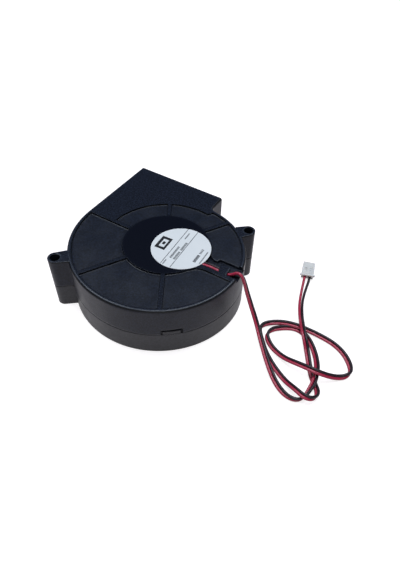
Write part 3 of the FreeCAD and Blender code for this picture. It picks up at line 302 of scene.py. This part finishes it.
def housing_finish():
    """Motor side shell: blue-black and grained. Its round plateau is polished in the mould and looks darker
    and smoother. The step round each sunk panel is painted black as shade, and the rim's top edge is painted
    paler as a highlight."""
    material, tree, surface, parts = moulded_pbt(
        "spark_eroded_pbt", "#0D1018", "#1F2534", 0.35, 0.7, 0.045, 0.2)
    level = parts["level"]
    rim = parts["rim"]
    inside = add(tree, "MapRange", {"Value": parts["reach"], "From Min": PLATEAU_EDGE[0] * MM,
                                    "From Max": PLATEAU_EDGE[1] * MM, "To Min": 1.0, "To Max": 0.0})
    above = add(tree, "MapRange", {"Value": level, "From Min": PLATEAU_HEIGHT[0] * MM,
                                   "From Max": PLATEAU_HEIGHT[1] * MM})
    plateau = add(tree, "Math", {0: inside, 1: above}, operation="MULTIPLY")
    raised = add(tree, "MapRange", {"Value": level, "From Min": RAISED_HEIGHT[0] * MM,
                                    "From Max": RAISED_HEIGHT[1] * MM})
    panel = add(tree, "MapRange", {"Value": level, "From Min": PANEL_HEIGHT[0] * MM,
                                   "From Max": PANEL_HEIGHT[1] * MM})
    foot = add(tree, "MapRange", {"Value": level, "From Min": FOOT_HEIGHT[0] * MM,
                                  "From Max": FOOT_HEIGHT[1] * MM})

    # Painted shade: the wall of the step and the lip of the ribs and the rim above it are coloured near
    # black
    above_foot = add(tree, "Math", {0: foot, 1: raised}, operation="SUBTRACT")
    upright = add(tree, "SeparateXYZ", {0: parts["eased"]}, "Z")
    edging = add(tree, "MapRange", {"Value": upright, "From Min": 0.9, "From Max": 0.995,
                                    "To Min": 1.0, "To Max": 0.0})
    lip = add(tree, "Math", {0: edging, 1: raised}, operation="MULTIPLY")
    step_shade_mask = add(tree, "Math", {0: above_foot, 1: lip}, operation="MAXIMUM")
    step = add(tree, "Mix", {0: step_shade_mask, 6: parts["tone"], 7: "#020306"}, 2, data_type="RGBA")

    # Dark plateau, then a painted highlight: the rim's top edge is coloured paler
    darker = add(tree, "Mix", {0: plateau, 6: step, 7: "#070A15"}, 2, data_type="RGBA")
    rim_highlight_mask = add(tree, "Math", {0: rim, 1: raised}, operation="MULTIPLY")
    painted_rim_highlight = add(tree, "Mix", {0: rim_highlight_mask, 6: darker, 7: "#262B36"}, 2, data_type="RGBA")
    tree.links.new(painted_rim_highlight, surface["Base Color"])

    # Roughness: dull on the step, glossier on the raised parts, smoothest on the plateau
    grained = add(tree, "Mix", {0: above_foot, 2: parts["dull"], 3: 0.5})
    glossed = add(tree, "Mix", {0: raised, 2: grained, 3: 0.27})
    smoother = add(tree, "Mix", {0: plateau, 2: glossed, 3: 0.22})
    tree.links.new(smoother, surface["Roughness"])

    # Shading at edges: a soft foot round each panel, and plain walls on the dark step
    sunk = add(tree, "Math", {0: panel, 1: foot}, operation="SUBTRACT")
    softened = add(tree, "Mix", {0: sunk, 4: parts["edge"], 5: parts["rounded"]}, 1, data_type="VECTOR")
    inner_wall = add(tree, "Math", {0: step_shade_mask, 1: rim}, operation="SUBTRACT", use_clamp=True)
    plain = add(tree, "NewGeometry", output="Normal")
    sharp = add(tree, "Mix", {0: inner_wall, 4: softened, 5: plain}, 1, data_type="VECTOR")
    tree.links.new(sharp, parts["relief"].node.inputs["Normal"])
    return material


shell = housing_finish()
# Inlet side shell: greyer and duller than the motor side, almost without grain
cover_shell = moulded_pbt("moulded_pbt_cover", "#1B1C21", "#2D2F35", 0.4, 0.9, 0.012, 0.34)[0]
# Impeller: plain dark moulding, smooth and satin
rotor_pbt = moulded_pbt("moulded_pbt_rotor", "#121317", "#1D1F25", 0.38, 1.2, 0.006, 0.4)[0]


# Label: printed polyester film, cool white, with plain rules, a badge and bars in dark ink. The print is
# given in mm along and across the rules from LABEL_CENTRE.

LABEL_CENTRE = Vector((0.00765, 0.0008, 0.02665))
LABEL_TURN = math.radians(94.03)
PRINT_REACH = 13.4
INK_HEIGHT = 0.012 * MM


def label_film():
    """White polyester film: slightly cool, satin, with the faint waviness of a stuck-down label."""
    material, tree, surface = new_finish("printed_polyester_film", "#CED1D3", 0.42)
    place = add(tree, "TexCoord", output="Object")
    cloud = add(tree, "TexNoise", {"Vector": place, "Scale": 1000 / 7.0, "Detail": 2.0})
    tone = add(tree, "Mix", {0: cloud, 6: "#CACDD0", 7: "#D2D4D6"}, 2, data_type="RGBA")
    tree.links.new(tone, surface["Base Color"])
    relief = add(tree, "Bump", {"Height": cloud, "Distance": 0.02 * MM})
    tree.links.new(relief, surface["Normal"])
    return material


def ink(name, colour):
    """Screen-printed ink: flat and dark, with a faint mottle of 0.5 mm in its gloss."""
    material, tree, surface = new_finish(name, colour, 0.4)
    place = add(tree, "TexCoord", output="Object")
    mottle = add(tree, "TexNoise", {"Vector": place, "Scale": 1000 / 0.5, "Detail": 2.0})
    dull = add(tree, "MapRange", {"Value": mottle, "To Min": 0.3, "To Max": 0.5})
    tree.links.new(dull, surface["Roughness"])
    return material


def print_bars(name, bars, material):
    """Printed marks as thin raised bars. A bar is (start, end, low, high): start and end along the rules."""
    mesh = bpy.data.meshes.new(name)
    build = bmesh.new()
    along = Vector((math.cos(LABEL_TURN), math.sin(LABEL_TURN), 0))
    over = Vector((-along.y, along.x, 0))
    for start, end, low, high in bars:
        corners = [(start, low), (end, low), (end, high), (start, high)]
        rings = []
        for height in (0.0, INK_HEIGHT):
            rings.append([build.verts.new(LABEL_CENTRE + along * (u * MM) + over * (v * MM)
                                          + Vector((0, 0, height))) for u, v in corners])
        build.faces.new(rings[1])
        build.faces.new(list(reversed(rings[0])))
        for number in range(4):
            after = (number + 1) % 4
            build.faces.new((rings[0][number], rings[0][after], rings[1][after], rings[1][number]))
    build.normal_update()
    build.to_mesh(mesh)
    build.free()
    mesh.materials.append(material)
    piece = bpy.data.objects.new(name, mesh)
    bpy.context.scene.collection.objects.link(piece)
    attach(piece, "housing")


def hatch(start, end, low, high, pitch=0.55, fill=0.62):
    """A row of short upright bars from start to end: a plain filled-in place, not lettering."""
    count = max(1, round((end - start) / pitch))
    step = (end - start) / count
    return [(start + step * number, start + step * (number + fill), low, high) for number in range(count)]


upper_reach, lower_reach = [math.sqrt(PRINT_REACH ** 2 - offset ** 2) for offset in (3.24, 1.63)]
rules = [(-upper_reach, upper_reach, 3.1, 3.38), (-lower_reach, lower_reach, -1.77, -1.49)]
badge = [(-4.8, 3.4, 6.05, 7.15), (-4.8, 3.4, 9.75, 11.15), (-4.8, -3.3, 7.15, 9.75), (1.9, 3.4, 7.15, 9.75),
         (-1.7, 0.3, 7.8, 9.1)]
dark_ink = ink("screen_print_ink", "#0E1016")
grey_ink = ink("thin_print_ink", "#262A31")
print_bars("label_badge", badge, dark_ink)
print_bars("label_rules", rules, grey_ink)
print_bars("label_rows", hatch(-7.8, 0.5, 0.7, 1.75) + hatch(-7.9, -2.4, -1.15, -0.1)
           + hatch(-1.4, 4.4, -1.15, -0.1) + hatch(-5.3, -0.2, -9.9, -8.5, 0.75, 0.75)
           + hatch(0.7, 4.2, -9.8, -8.6, 0.95, 0.5), grey_ink)
print_bars("label_fine_rows", hatch(-12.7, -9.5, 1.9, 2.5, 0.45) + hatch(6.2, 10.8, 1.1, 1.75, 0.45)
           + hatch(-5.0, 3.4, -12.1, -11.5, 0.45), grey_ink)


# Metals inside the motor. WAVE over a length gives a wave pattern that repeats at that length.

WAVE = math.pi / 10


def plain_metal(name, colour, roughness, line_mm, stretch, relief_mm=0.004):
    """Metal with fine tool or grinding lines, which run across the axis where stretch is largest."""
    material, tree, surface = new_finish(name, colour, roughness, {"Metallic": 1.0})
    place = add(tree, "TexCoord", output="Object")
    lines = add(tree, "Mapping", {"Vector": place, "Scale": stretch})
    marks = add(tree, "TexNoise", {"Vector": lines, "Scale": 1000 / line_mm, "Detail": 3.0})
    dull = add(tree, "MapRange", {"Value": marks, "To Min": roughness * 0.7, "To Max": roughness * 1.3})
    tree.links.new(dull, surface["Roughness"])
    relief = add(tree, "Bump", {"Height": marks, "Distance": relief_mm * MM})
    tree.links.new(relief, surface["Normal"])
    return material


def sintered_bronze():
    """Pressed and sintered bronze, soaked with oil: brown, dull, with open pores. Real pores are under
    0.1 mm, drawn at 0.25 mm so that they show."""
    material, tree, surface = new_finish("sintered_bronze", "#9A6A3A", 0.45, {"Metallic": 1.0})
    place = add(tree, "TexCoord", output="Object")
    pores = add(tree, "TexVoronoi", {"Vector": place, "Scale": 1000 / 0.25}, "Distance")
    tone = add(tree, "MapRange", {"Value": pores, "From Min": 0.1, "From Max": 0.5})
    mixed = add(tree, "Mix", {0: tone, 6: "#5E3F22", 7: "#A5743F"}, 2, data_type="RGBA")
    tree.links.new(mixed, surface["Base Color"])
    relief = add(tree, "Bump", {"Height": tone, "Distance": 0.02 * MM})
    tree.links.new(relief, surface["Normal"])
    return material


def laminated_steel():
    """Stamped silicon steel sheets, stacked: a thin dark line between each two 0.5 mm sheets."""
    material, tree, surface = new_finish("lamination_steel", "#7D7F82", 0.4, {"Metallic": 1.0})
    place = add(tree, "TexCoord", output="Object")
    stack = add(tree, "TexWave", {"Vector": place, "Scale": WAVE / (0.5 * MM)}, "Fac",
                bands_direction="Z")
    sheets = add(tree, "MapRange", {"Value": stack, "From Min": 0.0, "From Max": 0.35})
    mixed = add(tree, "Mix", {0: sheets, 6: "#2E2C2A", 7: "#85878A"}, 2, data_type="RGBA")
    tree.links.new(mixed, surface["Base Color"])
    relief = add(tree, "Bump", {"Height": sheets, "Distance": 0.04 * MM})
    tree.links.new(relief, surface["Normal"])
    return material


def enamelled_copper():
    """Enamelled copper wire under a clear amber coat, wound in layers of 0.22 mm turns, drawn at 0.3 mm."""
    material, tree, surface = new_finish("enamelled_copper", "#B5622F", 0.3, {
        "Metallic": 0.9, "Coat Weight": 0.6, "Coat Roughness": 0.15})
    place = add(tree, "TexCoord", output="Object")
    turns = add(tree, "TexWave", {"Vector": place, "Scale": WAVE / (0.3 * MM), "Distortion": 0.6,
                                  "Detail": 1.0}, "Fac", bands_direction="Z")
    tone = add(tree, "Mix", {0: turns, 6: "#6E3316", 7: "#C87440"}, 2, data_type="RGBA")
    tree.links.new(tone, surface["Base Color"])
    relief = add(tree, "Bump", {"Height": turns, "Distance": 0.08 * MM})
    tree.links.new(relief, surface["Normal"])
    return material


# Shaft: bright ground steel with fine lines round it
ground_steel = plain_metal("ground_stainless_steel", "#C6C8CA", 0.18, 0.4, (1.0, 1.0, 12.0))
# Retaining clip: grey spring steel, satin with oil
spring_steel = plain_metal("oiled_spring_steel", "#6A6D72", 0.32, 0.5, (1.0, 1.0, 1.0))
# Yoke: zinc plated sheet, pale and softly mottled
zinc_steel = plain_metal("zinc_plated_steel", "#B4B8BC", 0.32, 1.6, (1.0, 1.0, 1.0), 0.01)
# Bearing tube and shaft bush: yellow turned brass with tool lines round them
turned_brass = plain_metal("turned_brass", "#C6A052", 0.26, 0.4, (1.0, 1.0, 12.0))
# Pins and crimp terminals: warm white tin on bronze
tinned = plain_metal("tinned_bronze", "#C9C6BF", 0.28, 0.6, (1.0, 1.0, 4.0))


# Plastics, board and ceramics inside the motor


def moulded_small(name, colour, deep, roughness, mottle_mm, shader=None, relief_mm=0.01):
    """Small moulded, pressed or cut part: an even colour, faintly mottled in tone, gloss and relief."""
    material, tree, surface = new_finish(name, colour, roughness, shader)
    place = add(tree, "TexCoord", output="Object")
    mottle = add(tree, "TexNoise", {"Vector": place, "Scale": 1000 / mottle_mm, "Detail": 3.0})
    tone = add(tree, "Mix", {0: mottle, 6: deep, 7: colour}, 2, data_type="RGBA")
    tree.links.new(tone, surface["Base Color"])
    dull = add(tree, "MapRange", {"Value": mottle, "To Min": roughness - 0.06, "To Max": roughness + 0.08})
    tree.links.new(dull, surface["Roughness"])
    relief = add(tree, "Bump", {"Height": mottle, "Distance": relief_mm * MM})
    tree.links.new(relief, surface["Normal"])
    return material


def solder_masked_board():
    """FR-4 board under green solder mask: glossy, with copper fields that show paler through the mask."""
    material, tree, surface = new_finish("solder_masked_board", "#1E5A3A", 0.3, {
        "Coat Weight": 0.4, "Coat Roughness": 0.12})
    place = add(tree, "TexCoord", output="Object")
    tracks = add(tree, "TexVoronoi", {"Vector": place, "Scale": 1000 / 3.2, "Randomness": 0.6}, "Distance",
                 distance="CHEBYCHEV")
    copper = add(tree, "MapRange", {"Value": tracks, "From Min": 0.28, "From Max": 0.32})
    tone = add(tree, "Mix", {0: copper, 6: "#2B6E49", 7: "#1A5033"}, 2, data_type="RGBA")
    tree.links.new(tone, surface["Base Color"])
    relief = add(tree, "Bump", {"Height": copper, "Distance": 0.03 * MM})
    tree.links.new(relief, surface["Normal"])
    return material


# Light goes into nylon and comes out softened, so its edges look milky
nylon = {"IOR": 1.53, "Subsurface Weight": 0.8, "Subsurface Scale": 0.002,
         "Subsurface Radius": (1.0, 0.9, 0.8)}
# Connector: natural nylon, milky white
plug_nylon = moulded_small("natural_nylon", "#CDCBC9", "#C2C0BE", 0.42, 1.5, nylon)
# Winding insulators: the same, warmer
bobbin_nylon = moulded_small("bobbin_nylon", "#D8D0BC", "#CBC2AC", 0.5, 1.5, nylon)
# Magnet ring: dark grey bonded ferrite, dull and slightly gritty
ferrite = moulded_small("bonded_ferrite", "#3A3836", "#262423", 0.7, 0.4, None, 0.03)
# Oil ring: black rubber, dull
nitrile = moulded_small("nitrile_rubber", "#1A1A1B", "#131314", 0.75, 0.5, None, 0.02)
# Thrust washer: cream plastic, satin
acetal = moulded_small("acetal_washer", "#E4E0D4", "#D8D3C5", 0.4, 1.0)
# Chip and diode: black moulding compound, dull and fine
epoxy = moulded_small("moulded_epoxy", "#1D1D20", "#141416", 0.6, 0.3, None, 0.015)
# Capacitor and resistor: fired ceramic, tan and dull
alumina = moulded_small("fired_ceramic", "#B49468", "#9A7A50", 0.55, 0.4, None, 0.015)


# Connector: the lances that close its windows and the cheeks round the wires, under the roof


def plug_piece(name, profiles, material):
    """Small moulded blocks. A profile is (along, height) points in mm, then its reach across the plug."""
    mesh = bpy.data.meshes.new(name)
    build = bmesh.new()
    for outline, low, high in profiles:
        rings = []
        for across_mm in (low, high):
            rings.append([build.verts.new((
                PLUG_PLACE[0] + (u * math.cos(PLUG_ANGLE) - across_mm * math.sin(PLUG_ANGLE)) * MM,
                PLUG_PLACE[1] + (u * math.sin(PLUG_ANGLE) + across_mm * math.cos(PLUG_ANGLE)) * MM,
                w * MM)) for u, w in outline])
        build.faces.new(rings[0])
        build.faces.new(list(reversed(rings[1])))
        for number in range(len(outline)):
            after = (number + 1) % len(outline)
            build.faces.new((rings[1][number], rings[1][after], rings[0][after], rings[0][number]))
    bmesh.ops.recalc_face_normals(build, faces=build.faces)
    build.to_mesh(mesh)
    build.free()
    mesh.materials.append(material)
    piece = bpy.data.objects.new(name, mesh)
    bpy.context.scene.collection.objects.link(piece)
    eased = piece.modifiers.new("eased_edges", "BEVEL")
    eased.width = 0.08 * MM
    eased.segments = 2
    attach(piece, "housing")


lance = [(3.25, 2.66), (5.55, 2.66), (5.55, 3.25), (4.8, 3.3), (3.25, 2.95)]
cheek = [(0.75, 0.5), (1.38, 0.06), (1.38, 2.78), (0.3, 2.78)]
plug_piece("window_lances", [(lance, -1.62, -0.88), (lance, 0.88, 1.62)], plug_nylon)
plug_piece("wire_cheeks", [(cheek, -2.95, -1.95), (cheek, -0.55, 0.55), (cheek, 1.95, 2.95)], plug_nylon)


# Each CAD node's finish

FINISHES = {
    "motor_housing": shell,
    "inlet_cover": cover_shell,
    "label": label_film(),
    "bearing_tube": turned_brass,
    "bearing_sleeve": sintered_bronze(),
    "shaft": ground_steel,
    "oil_ring": nitrile,
    "thrust_washer": acetal,
    "retaining_clip": spring_steel,
    "shaft_bush": turned_brass,
    "impeller": rotor_pbt,
    "rotor_yoke": zinc_steel,
    "magnet_ring": ferrite,
    "stator_core": laminated_steel(),
    "upper_insulator": bobbin_nylon,
    "lower_insulator": bobbin_nylon,
    "circuit_board": solder_masked_board(),
    "terminal_pins": tinned,
    "drive_chip": epoxy,
    "filter_capacitor": alumina,
    "polarity_diode": epoxy,
    "bias_resistor": alumina,
    "connector_housing": plug_nylon,
    "crimp_terminals": tinned,
}
wire = enamelled_copper()
for number in range(1, 5):
    FINISHES["winding_%d" % number] = wire
for name, material in FINISHES.items():
    for slot in nodes[name].material_slots:
        slot.material = material


# Table: pale paper that shows white to the camera and through clear things, and fainter in reflections

TABLE_RADIUS = 0.8
UNDER_OBJECT = -0.04 * MM
table_mesh = bpy.data.meshes.new("table_top")
build = bmesh.new()
bmesh.ops.create_circle(build, cap_ends=True, segments=64, radius=TABLE_RADIUS)
build.to_mesh(table_mesh)
build.free()
table_top = bpy.data.objects.new("table_top", table_mesh)
table_top.location = (0.02, 0.0, UNDER_OBJECT)
bpy.context.scene.collection.objects.link(table_top)
paper, tree, surface = new_finish("white_paper_table", "#B8AEB1", 0.85, {"Specular IOR Level": 0.2})
seen = add(tree, "LightPath", output="Is Camera Ray")
mirrored = add(tree, "LightPath", output="Is Glossy Ray")
through = add(tree, "LightPath", output="Is Transmission Ray")
shown = add(tree, "Math", {0: seen, 1: through}, operation="MAXIMUM")
fainter = add(tree, "Math", {0: mirrored, 1: 0.55}, operation="MULTIPLY")
direct = add(tree, "Math", {0: shown, 1: fainter}, operation="MAXIMUM")
lift = add(tree, "Math", {0: direct, 1: 0.8}, operation="MULTIPLY")
tree.links.new(lift, surface["Emission Strength"])
surface["Emission Color"].default_value = (1.0, 1.0, 1.0, 1.0)
table_mesh.materials.append(paper)


# Studio light: three cool soft boxes from the left, above and behind, and a warmer low one from the front


def soft_box(name, place, size, power, colour):
    """A square soft light that faces the middle of the object. Its size is in metres, its power in watts."""
    lamp = bpy.data.lights.new(name, "AREA")
    lamp.shape = "SQUARE"
    lamp.size = size
    lamp.energy = power
    lamp.color = colour
    light = bpy.data.objects.new(name, lamp)
    light.location = place
    light.rotation_euler = (-Vector(place)).to_track_quat("-Z", "Y").to_euler()
    bpy.context.scene.collection.objects.link(light)


COOL = (0.86, 0.93, 1.0)
WARM = (1.0, 0.94, 0.95)
soft_box("left_soft_box", (-0.5, 0.05, 0.86), 0.4, 3.7, COOL)
soft_box("top_soft_box", (0.02, -0.03, 0.98), 0.26, 3.8, COOL)
soft_box("back_soft_box", (0.1, 0.4, 0.8), 0.36, 3.2, COOL)
soft_box("front_soft_box", (0.5, -0.85, 0.32), 0.8, 3.0, WARM)


# Room: grey walls that darken upward, white where the camera sees them

room = bpy.data.worlds.new("studio_room")
room.use_nodes = True
bpy.context.scene.world = room
tree = room.node_tree
sky = add(tree, "TexCoord", output="Generated")
height = add(tree, "SeparateXYZ", {0: sky}, "Z")
rise = add(tree, "MapRange", {"Value": height, "From Min": -0.1, "From Max": 0.35},
           interpolation_type="SMOOTHSTEP")
walls = add(tree, "Mix", {0: rise, 6: "#8E9092", 7: "#3C424A"}, 2, data_type="RGBA")
looked_at = add(tree, "LightPath", output="Is Camera Ray")
around = add(tree, "Mix", {0: looked_at, 6: walls, 7: "#FFFFFF"}, 2, data_type="RGBA")
tree.links.new(around, tree.nodes["Background"].inputs["Color"])
